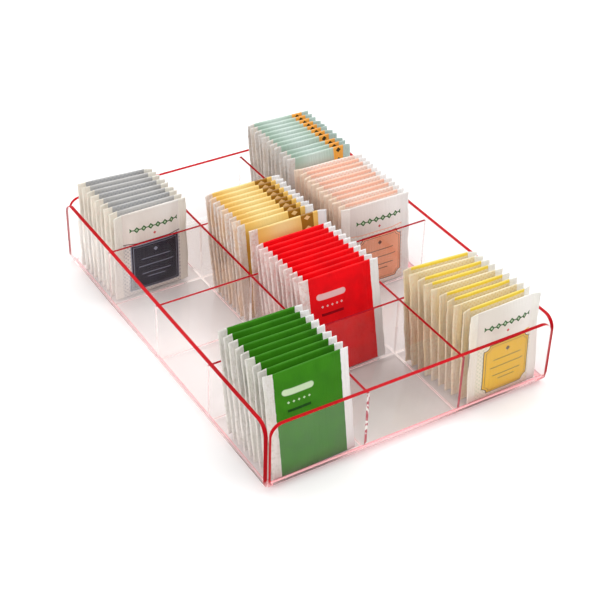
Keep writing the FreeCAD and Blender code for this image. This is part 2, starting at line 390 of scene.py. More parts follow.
# distances from the tray's middle at which its walls, cut ends and folds begin, and heights above the table
trayPlan = {
    "baseTop": 4, "sideWall": 117.0, "endWall": 155.7, "sideWallEnd": (155.7, 155.95), "sideFoldFrom": 112,
    "endWallEnd": (116.0, 116.3), "endFoldFrom": 151, "sideFold": 113.1, "endFold": 152.1, "foldTop": 7,
    "plainFrom": 140,
}
facing, turned = 0.9, 0.3  # a normal's part along an axis: over the first for a face that looks along it


def isBetween(value, reach):
    return reach[0] < value < reach[1]


def trayFace(centre, normal):
    plan = trayPlan
    aside, along = abs(centre.x), abs(centre.y)
    above = centre.z > plan["baseTop"]
    sawn = (
        above and aside > plan["sideWall"] and abs(normal.x) < turned,
        above and along > plan["endWall"] and abs(normal.y) < turned,
        isBetween(along, plan["sideWallEnd"]) and aside > plan["sideFoldFrom"] and abs(normal.y) > facing,
        isBetween(aside, plan["endWallEnd"]) and along > plan["endFoldFrom"] and abs(normal.x) > facing,
    )
    if any(sawn):
        return wallEdge
    if aside <= plan["sideFold"] and along <= plan["endFold"]:
        return baseSheet
    if centre.z > plan["foldTop"] or centre.y > plan["plainFrom"]:
        return clearSheet
    return frontFold if centre.y < -plan["endFold"] else sideFold


dividerTop = 51


# a divider's broad sides are clear, its top is an edge, and its other faces are bonded
def dividerFace(centre, across):
    if abs(across) > facing:
        return clearSheet
    return dividerEdge if centre.z > dividerTop else bondedSeam


dressSheet("folded_tray", (clearSheet, wallEdge, baseSheet, frontFold, sideFold), trayFace)
dividerLook = (clearSheet, dividerEdge, bondedSeam)
for node in ("left_long_divider", "right_long_divider"):
    dressSheet(node, dividerLook, lambda centre, normal: dividerFace(centre, normal.x))
for node in ("front_cross_divider", "middle_cross_divider", "back_cross_divider"):
    dressSheet(node, dividerLook, lambda centre, normal: dividerFace(centre, normal.y))


# columns and rows are the dividers' middles, half is half their sheet, and base is the base's top
beadPlan = {
    "seed": 7, "columns": (-40.25, 38.45), "rows": (-78.5, 0.0, 78.5), "half": 1.0, "base": 3.0,
    "reach": 17.0, "reachShare": (0.7, 1.2), "uneven": (0.8, 1.1), "ring": 2, "fewest": 4, "turns": 4,
    "longRuns": ((-154.5, -95.0), (-62.0, -17.0), (17.0, 62.0), (95.0, 154.5)),
    "crossRuns": ((-113.0, -57.0), (-24.0, 22.0), (55.0, 113.0)),
}

# size is a bead's radius, and taper how much of it thins out along the bead
crossingBead = {
    "name": "crossing_beads", "size": 0.36, "taper": 0.98, "light": (1.0, 0.97, 0.95),
    "deep": (0.97, 0.88, 0.86),
}
footBead = {
    "name": "foot_beads", "size": 0.28, "taper": 0.0, "light": (0.97, 0.78, 0.77), "deep": (0.92, 0.58, 0.58),
}

# the cement's glowing is a painted glow that keeps the beads bright in the shade
cementLook = {
    "cloudScale": 400.0, "rough": (0.25, 0.3), "refraction": 1.5, "shine": 0.5, "glowing": 0.22,
    "bump": (0.4, 0.0003),
}


# one bead in the corner between base and divider: a quarter round, closed at both ends
def addBead(mesh, start, along, side, length, bead, plan, dice):
    points, faces = mesh
    first = len(points)
    steps = max(plan["fewest"], round(length / plan["ring"]))
    around = plan["turns"] + 2
    for index in range(steps + 1):
        share = index / steps
        radius = bead["size"] * math.sqrt(1 - share**2 * bead["taper"]) * dice.uniform(*plan["uneven"])
        corner = start + along * share * length
        for turn in range(plan["turns"] + 1):
            angle = math.pi / (2 * plan["turns"]) * turn
            rise = Vector((0, 0, radius * math.sin(angle)))
            points.append((corner + side * radius * math.cos(angle) + rise) / perMetre)
        points.append(corner / perMetre)
    outward = along.cross(side).z < 0
    for index in range(steps):
        for turn in range(around):
            a, b = first + index * around + turn, first + index * around + (turn + 1) % around
            face = (a, b, b + around, a + around)
            faces.append(face if outward else face[::-1])
    head = tuple(first + turn for turn in range(around))
    tail = tuple(first + steps * around + turn for turn in range(around))
    faces += [head[::-1], tail] if outward else [head, tail[::-1]]


# cloudy pale cement with a painted glow in the bead's light colour
def makeCement(bead, look):
    recipe = Recipe(bpy.data.materials.new(bead["name"] + "_cement"))
    cloud = recipe.noise(recipe.place(), look["cloudScale"])
    colour, rough = recipe.mix(cloud, bead["light"], bead["deep"]), recipe.varied(cloud, *look["rough"])
    normal = recipe.bump(cloud, *look["bump"])
    return recipe.finish(recipe.surface(look, colour, rough, normal, bead["light"], look["glowing"]))


def makeBeads(plan):
    dice = random.Random(plan["seed"])
    right, back = Vector((1, 0, 0)), Vector((0, 1, 0))
    base, half = plan["base"], plan["half"]
    white, pink = ([], []), ([], [])
    crossings = product(plan["columns"], plan["rows"], ((right, back), (back, right)), (-1, 1), (-1, 1))
    for x, y, (along, across), sense, side in crossings:
        start = Vector((x, y, base)) + (along * sense + across * side) * half
        reach = plan["reach"] * dice.uniform(*plan["reachShare"])
        addBead(white, start, along * sense, across * side, reach, crossingBead, plan, dice)
    for side in (-1, 1):
        for x, (low, high) in product(plan["columns"], plan["longRuns"]):
            start = Vector((x + side * half, low, base))
            addBead(pink, start, back, right * side, high - low, footBead, plan, dice)
        for y, (low, high) in product(plan["rows"], plan["crossRuns"]):
            start = Vector((low, y + side * half, base))
            addBead(pink, start, right, back * side, high - low, footBead, plan, dice)
    for bead, (points, faces) in ((crossingBead, white), (footBead, pink)):
        mesh = bpy.data.meshes.new(bead["name"])
        mesh.from_pydata(points, [], faces)
        mesh.validate()
        mesh.materials.append(makeCement(bead, cementLook))
        piece = addObject(bead["name"], mesh)
        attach(piece, bodyOf["folded_tray"])


makeBeads(beadPlan)
print("acrylic and its edges done")


# the colours of each kind's print and paper; the shares and lengths are of its stripe or its label. The seals' foot
# colour, the right seal's colour except mint's, and a label's lighter right side are painted light, the crease colour
# is painted shade, and slate's dark line is a painted reflection
plainKind = {"style": "plain", "rough": 0.40, "worn": 0.01, "rightSeal": (0.96, 0.95, 0.94)}
stripeKind = {"style": "stripe", "rough": 0.42, "worn": 0.08}
labelKind = {"style": "label", "rough": 0.5, "worn": 0.12, "garland": (0.05, 0.14, 0.04)}
sachetLooks = {
    "green": {
        **plainKind,
        "panel": (0.045, 0.232, 0.008), "deep": (0.034, 0.190, 0.006), "seal": (0.78, 0.75, 0.71),
        "foot": (0.93, 0.90, 0.85), "creaseAndShade": (0.66, 0.62, 0.54), "tinge": (0.80, 0.80, 0.70),
        "plate": (0.60, 0.75, 0.50), "bar": (0.008, 0.055, 0.004),
    },
    "red": {
        **plainKind,
        "panel": (0.95, 0.003, 0.008), "deep": (0.80, 0.003, 0.008), "seal": (0.93, 0.78, 0.75),
        "foot": (0.96, 0.80, 0.76), "creaseAndShade": (0.80, 0.46, 0.42), "tinge": (0.94, 0.66, 0.62),
        "plate": (0.90, 0.55, 0.55), "bar": (0.30, 0.0, 0.006),
    },
    "amber": {
        **stripeKind,
        "panel": (0.93, 0.60, 0.15), "deep": (0.78, 0.39, 0.06), "light": (0.95, 0.76, 0.34),
        "seal": (0.90, 0.81, 0.76), "rightSeal": (0.95, 0.94, 0.94), "foot": (0.93, 0.80, 0.71),
        "creaseAndShade": (0.74, 0.50, 0.36), "tinge": (0.95, 0.66, 0.40), "stripe": (0.34, 0.15, 0.012),
        "motif": (0.92, 0.62, 0.28), "fade": (4.0, 19.0), "span": (0.665, 0.83), "pitch": 8.0, "narrow": 0.62,
        "drop": 3.0, "reach": 1.8,
    },
    "mint": {
        **stripeKind,
        "panel": (0.46, 0.61, 0.51), "deep": (0.52, 0.47, 0.40), "light": (0.63, 0.74, 0.68),
        "seal": (0.83, 0.79, 0.76), "rightSeal": (0.50, 0.63, 0.58), "foot": (0.94, 0.88, 0.82),
        "creaseAndShade": (0.68, 0.58, 0.50), "tinge": (0.84, 0.74, 0.62), "stripe": (0.93, 0.42, 0.07),
        "motif": (0.045, 0.040, 0.018), "fade": (3.0, 14.0), "span": (0.72, 0.885), "pitch": 8.5, "narrow": 0.9,
        "drop": 3.2, "reach": 2.2,
    },
    "slate": {
        **labelKind,
        "panel": (0.80, 0.73, 0.67), "light": (0.88, 0.84, 0.80), "seal": (0.86, 0.81, 0.71),
        "rightSeal": (0.93, 0.90, 0.82), "foot": (1.0, 0.98, 0.92), "creaseAndShade": (0.90, 0.78, 0.68),
        "tinge": (0.98, 0.90, 0.78), "top": (0.50, 0.495, 0.49), "topDeep": (0.34, 0.35, 0.40),
        "edge": (0.55, 0.54, 0.53), "label": (0.006, 0.005, 0.020), "line": (0.30, 0.32, 0.42),
        "dots": (0.42, 0.41, 0.42), "under": (0.76, 0.74, 0.70), "ruleAndReflection": (0.10, 0.008, 0.02), "ruleAt": 0.632,
        "scoop": 0.6,
    },
    "peach": {
        **labelKind,
        "panel": (0.84, 0.74, 0.70), "light": (0.98, 0.94, 0.92), "seal": (1.0, 0.82, 0.67),
        "rightSeal": (0.98, 0.95, 0.93), "foot": (1.0, 0.84, 0.72), "creaseAndShade": (0.92, 0.68, 0.54),
        "tinge": (1.0, 0.80, 0.66), "top": (0.95, 0.78, 0.69), "topDeep": (0.93, 0.55, 0.43),
        "edge": (0.96, 0.56, 0.42), "label": (1.0, 0.40, 0.22), "line": (0.12, 0.05, 0.03),
        "dots": (0.93, 0.70, 0.60), "under": (0.96, 0.87, 0.82), "ruleAndReflection": (0.96, 0.50, 0.36), "ruleAt": 0.652,
        "scoop": 4.5,
    },
    "yellow": {
        **labelKind,
        "panel": (0.80, 0.73, 0.65), "light": (0.96, 0.93, 0.88), "seal": (0.88, 0.76, 0.55),
        "rightSeal": (0.97, 0.95, 0.88), "foot": (0.99, 0.87, 0.66), "creaseAndShade": (0.88, 0.64, 0.42),
        "tinge": (0.99, 0.80, 0.42), "top": (0.88, 0.76, 0.50), "topDeep": (0.80, 0.58, 0.24),
        "edge": (0.94, 0.70, 0.08), "label": (0.86, 0.51, 0.004), "line": (0.10, 0.055, 0.01),
        "dots": (0.68, 0.70, 0.52), "under": (0.93, 0.88, 0.70), "ruleAndReflection": (0.92, 0.58, 0.08), "ruleAt": 0.612,
        "scoop": 4.5,
    },
}

# one sachet, in millimetres; a noise's apart is what keeps it unlike the others
sachetShape = {
    "firstSeed": 40, "seal": 7.0, "columns": (5, 18), "end": 9.0, "levels": (6, 14), "rim": 0.28,
    "thinnest": 0.2, "spare": 0.12, "early": 0.6, "rise": 12, "endRise": 15, "topStart": 0.16,
    "footStart": 0.1, "seeds": (0, 500), "curls": ((-1.5, 1.5), (-0.8, 0.8), (0, 6.3), (0.05, 0.11)),
    "dips": (0.1, 0.9), "grain": {"scale": (0.09, 0.07), "apart": (0, 7), "middle": 0.25, "depth": 0.35},
    "pucker": {"scale": (0.05, 0.42), "apart": (31, 5), "depth": 0.45, "at": 9, "reach": 8, "from": 4, "rise": 4},
    "lean": (0.35, 0.65), "curlPower": 1.4, "crimp": {"scale": (0.1, 0.35), "apart": 9, "depth": 0.35},
    "sag": {"scale": 0.06, "apart": 3, "depth": 0.35, "reach": 9},
    "tuck": {"scale": 0.2, "apart": 9, "depth": 0.25},
}
markUnit = 100.0  # millimetres to one unit of the print's map
frontVariant, rowVariant, brightVariant = 0.0, 1.0, 2.0  # rowStep and brightStep below tell them apart


# the solids of a node, each found by its joined faces, from the front to the back
def sachetPlaces(node):
    mesh = nodes[node].data
    keys = [tuple(round(value * 1e6) for value in vertex.co) for vertex in mesh.vertices]
    owner = {key: key for key in keys}

    def root(key):
        while owner[key] != key:
            owner[key] = owner[owner[key]]
            key = owner[key]
        return key

    for face in mesh.polygons:
        first = root(keys[face.vertices[0]])
        for index in face.vertices[1:]:
            owner[root(keys[index])] = first
    groups = {}
    for face in mesh.polygons:
        groups.setdefault(root(keys[face.vertices[0]]), []).append(face)
    places = []
    for faces in groups.values():
        front = max((face for face in faces if face.normal.y < -0.5), key=lambda face: face.area).normal.normalized()
        right = Vector((0, 0, 1)).cross(front).normalized()
        axes = (right, front.cross(right), front)
        points = [mesh.vertices[index].co for face in faces for index in face.vertices]
        reaches = ([point.dot(axis) for point in points] for axis in axes)
        spans = [(min(reach), max(reach)) for reach in reaches]
        centre = sum((axis * (low + high) / 2 for axis, (low, high) in zip(axes, spans)), Vector())
        size = tuple((high - low) * perMetre for low, high in spans)
        places.append({"centre": centre, "axes": axes, "size": size})
    return sorted(places, key=lambda place: place["centre"].y)


# marks along a length, closer together near both ends
def spread(length, edge, edgeSteps, steps):
    marks = [edge * index / edgeSteps for index in range(edgeSteps)]
    inner = length - 2 * edge
    marks += [edge + inner * index / steps for index in range(steps + 1)]
    marks += [length - edge + edge * index / edgeSteps for index in range(1, edgeSteps + 1)]
    return marks


def ease(value):
    value = min(1.0, max(0.0, value))
    return value * value * (3 - 2 * value)


# a noise over one side of a sachet
def rumple(part, x, z, side, seed):
    (acrossScale, upScale), (apart, sideApart) = part["scale"], part["apart"]
    return noise.noise(Vector((x * acrossScale, z * upScale, seed + apart + side * sideApart)))


# the paper's distance from the sachet's middle plane: flat at the seals, bowed and rumpled between them
def halfThickness(shape, size, x, z, side, seed):
    width, height, depth = size
    fromSide = min(x, width - x)
    crown = depth / 2 - shape["spare"]
    top = ease((height - z) / shape["endRise"] + shape["topStart"])
    bulk = ease((fromSide - shape["seal"] + shape["early"]) / shape["rise"])
    bulk *= min(top, ease(z / shape["endRise"] + shape["footStart"]))
    grain, pucker = shape["grain"], shape["pucker"]
    sunk = min(0.0, (rumple(grain, x, z, side, seed) - grain["middle"]) * grain["depth"]) * bulk
    puckered = rumple(pucker, x, z, side, seed) * ease(1 - abs(fromSide - pucker["at"]) / pucker["reach"])
    drawn = max(0.0, puckered) * pucker["depth"] * ease((fromSide - pucker["from"]) / pucker["rise"])
    return max(shape["thinnest"], shape["rim"] + (crown - shape["rim"]) * bulk + (sunk - drawn))


# where a point of the paper moves to across and up, and how far its seal curls out
def curled(shape, size, x, z, seed, curls, dips):
    width, height = size[:2]
    which = 0 if x < width / 2 else 1
    outer = max(0.0, (shape["seal"] - min(x, width - x)) / shape["seal"])
    lean, sway, phase, rate = curls[which]
    foot, rise = shape["lean"]
    curl = (lean * (foot + rise * z / height) + sway * math.sin(phase + z * rate * 2)) * outer ** shape["curlPower"]
    crimp, sag, tuck = shape["crimp"], shape["sag"], shape["tuck"]
    crimped = noise.noise(Vector((seed, z * crimp["scale"][1], which * crimp["apart"] + x * crimp["scale"][0])))
    curl += crimped * crimp["depth"] * outer
    droop = noise.noise(Vector((x * sag["scale"], seed, sag["apart"])))
    lower = dips[which] * outer + sag["depth"] * max(0.0, droop)
    drawn = noise.noise(Vector((seed + tuck["apart"], z * tuck["scale"], which)))
    inward = (tuck["depth"] * drawn - tuck["depth"]) * outer * (-1 if which == 0 else 1)
    return x + inward, z - lower * ease(1 - (height - z) / sag["reach"]), curl


def addSachet(place, variant, dice, data):
    shape, size = sachetShape, place["size"]
    tone = dice.random()
    columns = spread(size[0], shape["seal"], *shape["columns"])
    levels = spread(size[1], shape["end"], *shape["levels"])
    seed = dice.uniform(*shape["seeds"])
    curls = [[dice.uniform(*reach) for reach in shape["curls"]] for _ in range(2)]
    dips = [dice.uniform(*shape["dips"]) for _ in range(2)]
    right, upward, outward = place["axes"]
    corner = place["centre"] - right * size[0] / (2 * perMetre) - upward * size[1] / (2 * perMetre)
    grid = {}
    for side, (row, z), (column, x) in product((0, 1), enumerate(levels), enumerate(columns)):
        half = halfThickness(shape, size, x, z, side, seed)
        across, level, curl = curled(shape, size, x, z, seed, curls, dips)
        away = half * (1 if side == 0 else -1) + curl
        grid[side, row, column] = len(data["points"])
        data["points"].append(corner + (right * across + upward * level + outward * away) / perMetre)
        data["marks"].append((x / markUnit, z / markUnit))
        data["tone"].append(tone)
        data["variant"].append(variant)
        data["back"].append(float(side))
    last, top = len(columns) - 1, len(levels) - 1
    for row, column, side in product(range(top), range(last), (0, 1)):
        a, b = grid[side, row, column], grid[side, row, column + 1]
        c, d = grid[side, row + 1, column + 1], grid[side, row + 1, column]
        data["faces"].append((a, b, c, d) if side == 0 else (d, c, b, a))
    rim = [(0, column) for column in range(last)] + [(row, last) for row in range(top)]
    rim += [(top, column) for column in range(last, 0, -1)] + [(row, 0) for row in range(top, 0, -1)]
    for here, there in zip(rim, rim[1:] + rim[:1]):
        data["faces"].append((grid[(0, *there)], grid[(0, *here)], grid[(1, *here)], grid[(1, *there)]))


def makeSachets(node, material, dice, variantAt):
    data = {"points": [], "faces": [], "marks": [], "tone": [], "variant": [], "back": []}
    for index, place in enumerate(sachetPlaces(node)):
        addSachet(place, variantAt(index), dice, data)
    mesh = bpy.data.meshes.new(node + "_paper")
    mesh.from_pydata(data["points"], [], data["faces"])
    layer = mesh.uv_layers.new(name="print")
    for loop in mesh.loops:
        layer.data[loop.index].uv = data["marks"][loop.vertex_index]
    for key in ("tone", "variant", "back"):
        mesh.attributes.new(key, "FLOAT", "POINT").data.foreach_set("value", data[key])
    mesh.shade_smooth()
    mesh.materials.append(material)
    piece = addObject(node + "_paper", mesh)
    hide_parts(node)
    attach(piece, bodyOf[node])


# what all the papers share; lengths are in millimetres, levels are from the upper edge, and scales per map unit. The
# seals' lighter foot is painted light; the darkening along streaks, creases and crimps and in a row's dim part is
# painted shade
paperLook = {
    "toneShift": 9.0, "ragged": (22.0, 2.0), "raggedReach": 0.9, "fibre": (160.0, 4.0, 0.7),
    "cloud": (7.0, 2.0), "rowStep": (0.4, 0.6), "brightStep": (1.4, 1.6), "footStep": (60.0, 30.0),
    "streaks": ((60, 5, 1), 3.0),
    "streaked": {"step": (0.42, 0.70), "share": 0.45, "colour": (0.76, 0.74, 0.72)},
    "creases": ((45, 38, 1), 3.0, 0.65), "creased": {"step": (0.47, 0.68), "share": 0.7},
    "tintPatches": ((24, 3, 1), 2.0), "tintPatchStep": (0.42, 0.66), "tintPatchShare": (0.15, 0.55), "frontShare": 0.7,
    "crimpRates": (6.3, 0.9), "crimped": {"step": (0.2, 1.0), "share": 0.10, "colour": (0.55, 0.54, 0.52)},
    "wornReach": 0.8, "wornLevels": (-0.5, 0.2), "worn": (0.9, 0.88, 0.85), "dimLevels": (-1.5, -10.0),
    "dim": (0.66, 0.64, 0.64), "other": {"step": (0.42, 0.72), "share": 0.3}, "otherDeep": 0.82,
    "fibrous": {"step": (0.45, 0.75), "share": 0.10, "colour": (0.5, 0.48, 0.45)}, "sealRough": 0.2,
    "fibreRough": 0.12, "refraction": 1.45, "shine": 0.10, "fibreHeight": 0.25, "crimpHeight": 0.5,
    "fineBump": (0.35, 0.0004), "creaseHeight": 1.4, "broadBump": (0.30, 0.0012),
}


# a paper's recipe, with the places and patterns that every print uses
def paperBase(name, size, look):
    recipe = Recipe(bpy.data.materials.new(name))
    mark = recipe.add("ShaderNodeUVMap", uv_map="print").outputs[0]
    across, up, _ = recipe.split(mark)
    x, z = recipe.times(across, markUnit), recipe.times(up, markUnit)
    tone, variant = recipe.attribute("tone"), recipe.attribute("variant")
    shift = recipe.add("ShaderNodeCombineXYZ", {2: recipe.times(tone, look["toneShift"])}).outputs[0]
    shifted = recipe.vector("ADD", mark, shift)[0]
    ragged = recipe.times(recipe.centred(recipe.noise(shifted, *look["ragged"])), look["raggedReach"])
    left = recipe.inside(recipe.plus(recipe.minus(x, sachetShape["seal"]), ragged))
    right = recipe.inside(recipe.plus(recipe.minus(size[0] - sachetShape["seal"], x), ragged))
    return {
        "recipe": recipe,
        "size": size,
        "x": x,
        "z": z,
        "mark": shifted,
        "tone": tone,
        "isRow": recipe.step(variant, *look["rowStep"]),
        "isBright": recipe.step(variant, *look["brightStep"]),
        "isFace": recipe.flipped(recipe.attribute("back")),
        "left": left,
        "right": right,
        "seal": recipe.most(left, right),
        "fibre": recipe.noise(shifted, *look["fibre"]),
        "cloud": recipe.noise(shifted, *look["cloud"]),
    }


def sealPaper(base, kind, look, streak, creaseAndShade, crimp):
    recipe = base["recipe"]
    # lighter towards the foot: painted light on the lower seals
    white = recipe.mix(recipe.step(base["z"], *look["footStep"]), kind["seal"], kind["foot"])
    # darker along the streaks and in the creases: painted shade of the paper's wrinkles
    white = recipe.layer(streak, look["streaked"], white, mode="MULTIPLY")
    white = recipe.layer(creaseAndShade, look["creased"], white, kind["creaseAndShade"])
    # patches in the kind's tinge colour, more on some sachets than on others
    tintPatch = recipe.step(recipe.streaks(base["mark"], *look["tintPatches"]), *look["tintPatchStep"])
    white = recipe.blend(tintPatch, recipe.varied(base["tone"], *look["tintPatchShare"]), white, kind["tinge"])
    # a label's front sachet takes most of the right seal's lighter colour on its seal: painted light
    if kind["style"] == "label":
        white = recipe.blend(recipe.flipped(base["isRow"]), look["frontShare"], white, kind["rightSeal"])
    # darker along the crimp's grooves: painted shade
    return recipe.layer(crimp, look["crimped"], white)


def finishPaper(base, kind, panel, look):
    recipe, z, seal, fibre = (base[key] for key in ("recipe", "z", "seal", "fibre"))
    streak = recipe.streaks(base["mark"], *look["streaks"])
    creaseAndShade = recipe.streaks(base["mark"], *look["creases"])
    upRate, acrossRate = look["crimpRates"]
    crimp = recipe.math("SINE", recipe.plus(recipe.times(z, upRate), recipe.times(base["x"], acrossRate)))
    # worn at the upper edge, and within a row darker below it, where the light falls off
    worn, dim = ([base["size"][1] + level for level in look[key]] for key in ("wornLevels", "dimLevels"))
    upper = recipe.plus(z, recipe.times(creaseAndShade, look["wornReach"]))
    panel = recipe.blend(recipe.step(upper, *worn), kind["worn"], panel, look["worn"], "SCREEN")
    panel = recipe.blend(recipe.step(z, *dim), base["isRow"], panel, look["dim"], "MULTIPLY")
    colour = recipe.mix(base["left"], panel, sealPaper(base, kind, look, streak, creaseAndShade, crimp))
    # the right seal: lighter than the left with painted light, except mint's, which is in its print's colour, and
    # darker along the streaks with painted shade
    darker = tuple(value * look["otherDeep"] for value in kind["rightSeal"])
    colour = recipe.mix(base["right"], colour, recipe.layer(streak, look["other"], kind["rightSeal"], darker))
    colour = recipe.layer(fibre, look["fibrous"], colour, mode="MULTIPLY")
    rough = recipe.plus(recipe.times(seal, look["sealRough"]), recipe.times(fibre, look["fibreRough"]))
    creased = recipe.times(creaseAndShade, recipe.times(seal, look["creaseHeight"]))
    broad = recipe.bump(recipe.plus(streak, creased), *look["broadBump"])
    crimped = recipe.times(recipe.times(crimp, seal), look["crimpHeight"])
    fine = recipe.bump(recipe.plus(recipe.times(fibre, look["fibreHeight"]), crimped), *look["fineBump"], broad)
    return recipe.finish(recipe.surface(look, colour, recipe.plus(kind["rough"], rough), fine))


# how far a point lies beyond a box's sides, across and along
def beyondBox(recipe, point, centre, half):
    return [recipe.minus(recipe.away(value, middle), reach) for value, middle, reach in zip(point, centre, half)]


def box(recipe, point, centre, half):
    return recipe.most(*beyondBox(recipe, point, centre, half))


# a box with its four corners scooped out
def plaque(recipe, point, centre, half, scoop):
    across, along = beyondBox(recipe, point, centre, half)
    return recipe.most(recipe.most(across, along), recipe.minus(scoop, recipe.length(across, along)))


def capsule(recipe, point, centre, half, radius):
    over = recipe.most(recipe.minus(recipe.away(point[0], centre[0]), half), 0.0)
    return recipe.minus(recipe.length(over, recipe.minus(point[1], centre[1])), radius)


# a plate, a row of small lozenges and a bar; an "at" is a share of the sachet's size, the rest is in millimetres
plainPlan = {
    "cloudStep": (0.3, 0.75), "acrossAt": 0.36, "plateAt": 0.80, "plateHalf": 9.5, "plateRadius": 2.4,
    "plateSoft": 0.4, "pearlsAt": 0.70, "pearlPitch": 2.0, "pearlOffset": 20.0, "pearlSize": 1.0,
    "pearlReach": 11.0, "barAt": 0.62, "barHalf": (9.0, 1.0),
}


def plainPrint(base, kind):
    plan, recipe, x, z = plainPlan, base["recipe"], base["x"], base["z"]
    width, height = base["size"]
    middle, isFace = width * plan["acrossAt"], base["isFace"]
    panel = recipe.mix(recipe.step(base["cloud"], *plan["cloudStep"]), kind["panel"], kind["deep"])
    plate = capsule(recipe, (x, z), (middle, height * plan["plateAt"]), plan["plateHalf"], plan["plateRadius"])
    panel = recipe.blend(isFace, recipe.inside(plate, plan["plateSoft"]), panel, kind["plate"])
    across = recipe.minus(x, middle)
    pearls = recipe.zigzag(recipe.plus(across, plan["pearlOffset"]), plan["pearlPitch"])
    pearls = recipe.minus(recipe.plus(pearls, recipe.away(z, height * plan["pearlsAt"])), plan["pearlSize"])
    pearls = recipe.most(pearls, recipe.minus(recipe.mirrored(across), plan["pearlReach"]))
    panel = recipe.blend(isFace, recipe.inside(pearls), panel, kind["plate"])
    bar = box(recipe, (x, z), (middle, height * plan["barAt"]), plan["barHalf"])
    return recipe.blend(isFace, recipe.inside(bar), panel, kind["bar"])


# a plain panel with a stripe of lozenges; the steps are shares of the width
stripePlan = {"lightStep": (0.1, 0.42), "panelStep": (0.42, 0.80), "fadeShare": 0.85, "soft": 0.15}


def stripePrint(base, kind):
    plan, recipe, x, z = stripePlan, base["recipe"], base["x"], base["z"]
    width, height = base["size"]
    share = recipe.times(x, 1 / width)
    panel = recipe.mix(recipe.step(share, *plan["lightStep"]), kind["panel"], kind["light"])
    panel = recipe.mix(recipe.step(share, *plan["panelStep"]), panel, kind["panel"])
    faded = recipe.step(z, *(height - fall for fall in kind["fade"]))
    panel = recipe.blend(faded, plan["fadeShare"], panel, kind["deep"])
    low, high = (value * width for value in kind["span"])
    panel = recipe.mix(recipe.band(x, low, high, plan["soft"]), panel, kind["stripe"])
    across = recipe.times(recipe.away(x, (low + high) / 2), kind["narrow"])
    along = recipe.zigzag(recipe.minus(height - kind["drop"], z), kind["pitch"] / 2)
    motif = recipe.inside(recipe.minus(recipe.plus(across, along), kind["reach"]))
    return recipe.mix(motif, panel, kind["motif"])


garlandLook = {
    "pitch": 3.0, "offset": 27.0, "size": 2.6, "string": 0.45, "heart": 1.5, "hearts": (0.50, 0.62, 0.42),
    "drop": 6.5, "dot": 1.3, "dots": (0.62, 0.10, 0.10),
}


# a garland of lozenges on a string, and one red dot under it
def garland(recipe, point, centre, reach, panel, shown, colour):
    look = garlandLook
    across = recipe.minus(point[0], centre[0])
    down = recipe.away(point[1], centre[1])
    ends = recipe.minus(recipe.mirrored(across), reach)
    beads = recipe.plus(recipe.zigzag(recipe.plus(across, look["offset"]), look["pitch"]), down)
    beads = recipe.minus(beads, look["size"])
    string = recipe.inside(recipe.most(recipe.minus(down, look["string"]), ends))
    drawn = recipe.most(recipe.inside(recipe.most(beads, ends)), string)
    panel = recipe.blend(shown, drawn, panel, colour)
    hearts = recipe.inside(recipe.most(recipe.plus(beads, look["heart"]), ends))
    panel = recipe.blend(shown, hearts, panel, look["hearts"])
    dot = recipe.plus(recipe.mirrored(across), recipe.away(point[1], centre[1] - look["drop"]))
    return recipe.blend(shown, recipe.inside(recipe.minus(dot, look["dot"])), panel, look["dots"])


# the label's places and sizes are shares of the sachet's, and its other lengths are in millimetres
labelPlan = {
    "dotPitch": 1.7, "dotSize": 1.3, "dotSoft": 0.2, "dotShare": 0.8, "topDots": 0.5,
    "lightStep": (0.3, 0.95), "underSoft": 0.4, "underShare": 0.8, "ruleWide": 0.75, "ruleSoft": 0.12,
    "topFall": (20, 19), "lipFall": (2.6, 2.2), "middle": 0.53, "labelAt": 0.335, "labelHalf": (0.335, 0.285),
    "border": 0.7, "innerLine": 2.2, "innerHalf": 0.18,
    "lines": ((0.43, 0.20), (0.345, 0.24), (0.25, 0.20), (0.20, 0.12)), "lineHalf": 0.28, "spotAt": 0.52,
    "spot": 1.9, "garlandAt": 0.80, "garlandReach": 0.33,
}


def makeLabel(base, kind, edge):
    plan, recipe, x, z = labelPlan, base["recipe"], base["x"], base["z"]
    width, height = base["size"]
    middle = width * plan["middle"]
    label = recipe.mix(recipe.inside(recipe.plus(edge, plan["border"])), kind["line"], kind["label"])
    inner = recipe.minus(recipe.mirrored(recipe.plus(edge, plan["innerLine"])), plan["innerHalf"])
    label = recipe.mix(recipe.inside(inner), label, kind["line"])
    for level, half in plan["lines"]:
        line = box(recipe, (x, z), (middle, height * level), (width * half, plan["lineHalf"]))
        label = recipe.mix(recipe.inside(line), label, kind["line"])
    spot = recipe.plus(recipe.away(x, middle), recipe.away(z, height * plan["spotAt"]))
    return recipe.mix(recipe.inside(recipe.minus(spot, plan["spot"])), label, kind["line"])


